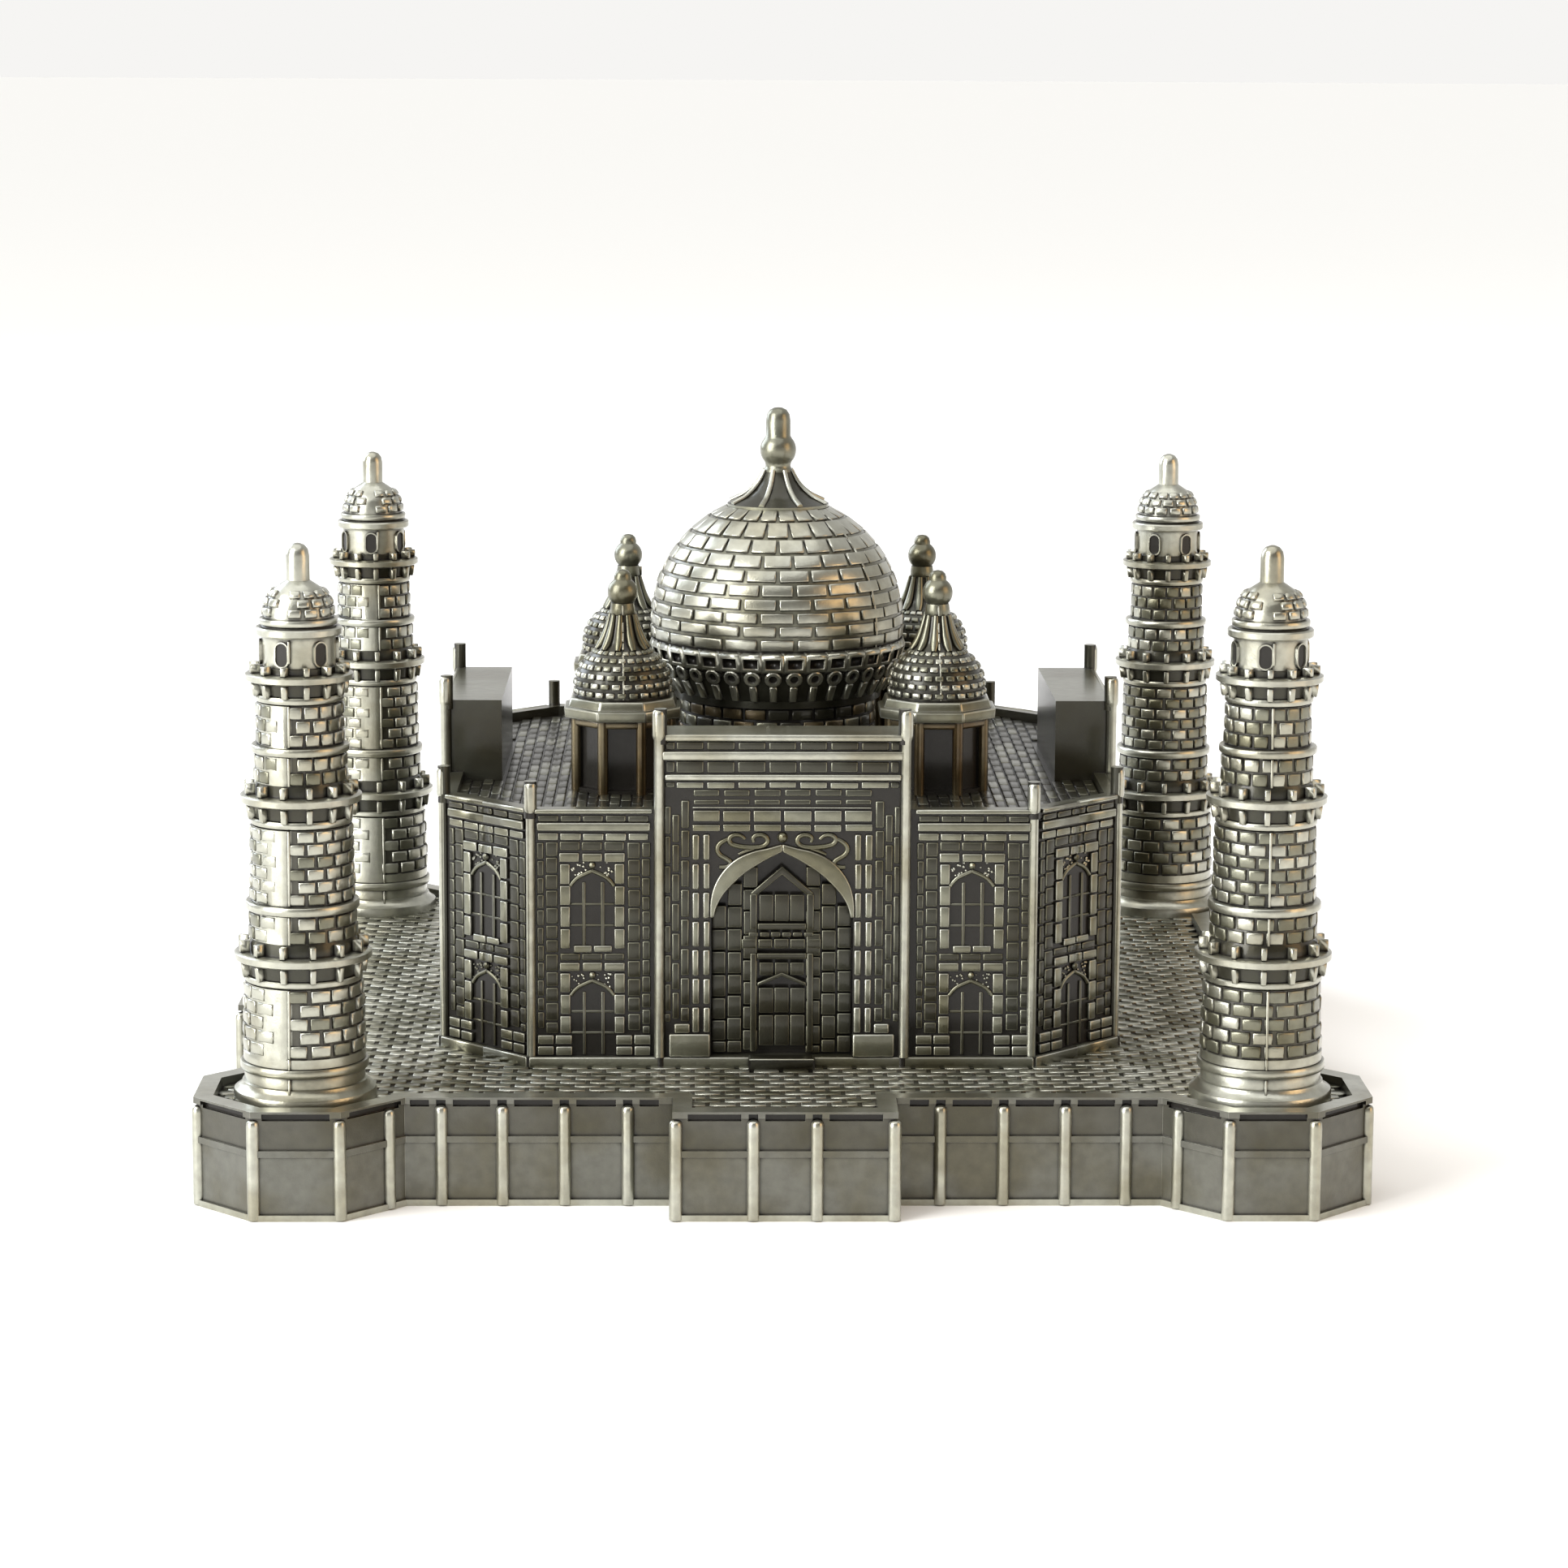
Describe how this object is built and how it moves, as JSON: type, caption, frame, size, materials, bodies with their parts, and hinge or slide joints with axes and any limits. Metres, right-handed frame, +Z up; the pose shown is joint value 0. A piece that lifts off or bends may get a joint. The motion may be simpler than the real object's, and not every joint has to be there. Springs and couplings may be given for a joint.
{
  "type": "miniature landmark model",
  "caption": "Cast metal souvenir of a domed garden tomb with corner pavilions on a square plinth, between four tall minarets.",
  "frame": {"origin": "middle of the square plinth, on the plane of the rim that it stands on", "axes": "+Z up through the finial of the main dome; -Y is the front with the door step that faces the viewer; +X to the viewer's right"},
  "size_m": [0.1102, 0.1102, 0.0706],
  "materials": {
    "antique_pewter": "zinc alloy casting, nickel plated, blackened and wiped back so that raised edges are bright, clear lacquer",
    "bronzed_pewter": "the same casting finish with a warm bronze tone left in the blackening",
    "felt": "dark green felt on card",
    "zinc_plated_steel": "zinc plated self-tapping screws"
  },
  "bodies": {
    "root": {"plinth": "antique_pewter", "felt_pad": "felt", "wall_front": "antique_pewter", "wall_right": "antique_pewter", "wall_rear": "antique_pewter", "wall_left": "antique_pewter", "roof_deck": "antique_pewter", "main_dome": "antique_pewter", "dome_finial": "bronzed_pewter", "chhatri_front_left": "bronzed_pewter", "chhatri_front_right": "bronzed_pewter", "chhatri_rear_right": "bronzed_pewter", "chhatri_rear_left": "bronzed_pewter", "minaret_front_left": "antique_pewter", "minaret_front_right": "antique_pewter", "minaret_rear_right": "antique_pewter", "minaret_rear_left": "antique_pewter", "minaret_screws": "zinc_plated_steel", "wall_screws": "zinc_plated_steel", "dome_screw": "zinc_plated_steel"}
  },
  "joints": []
}
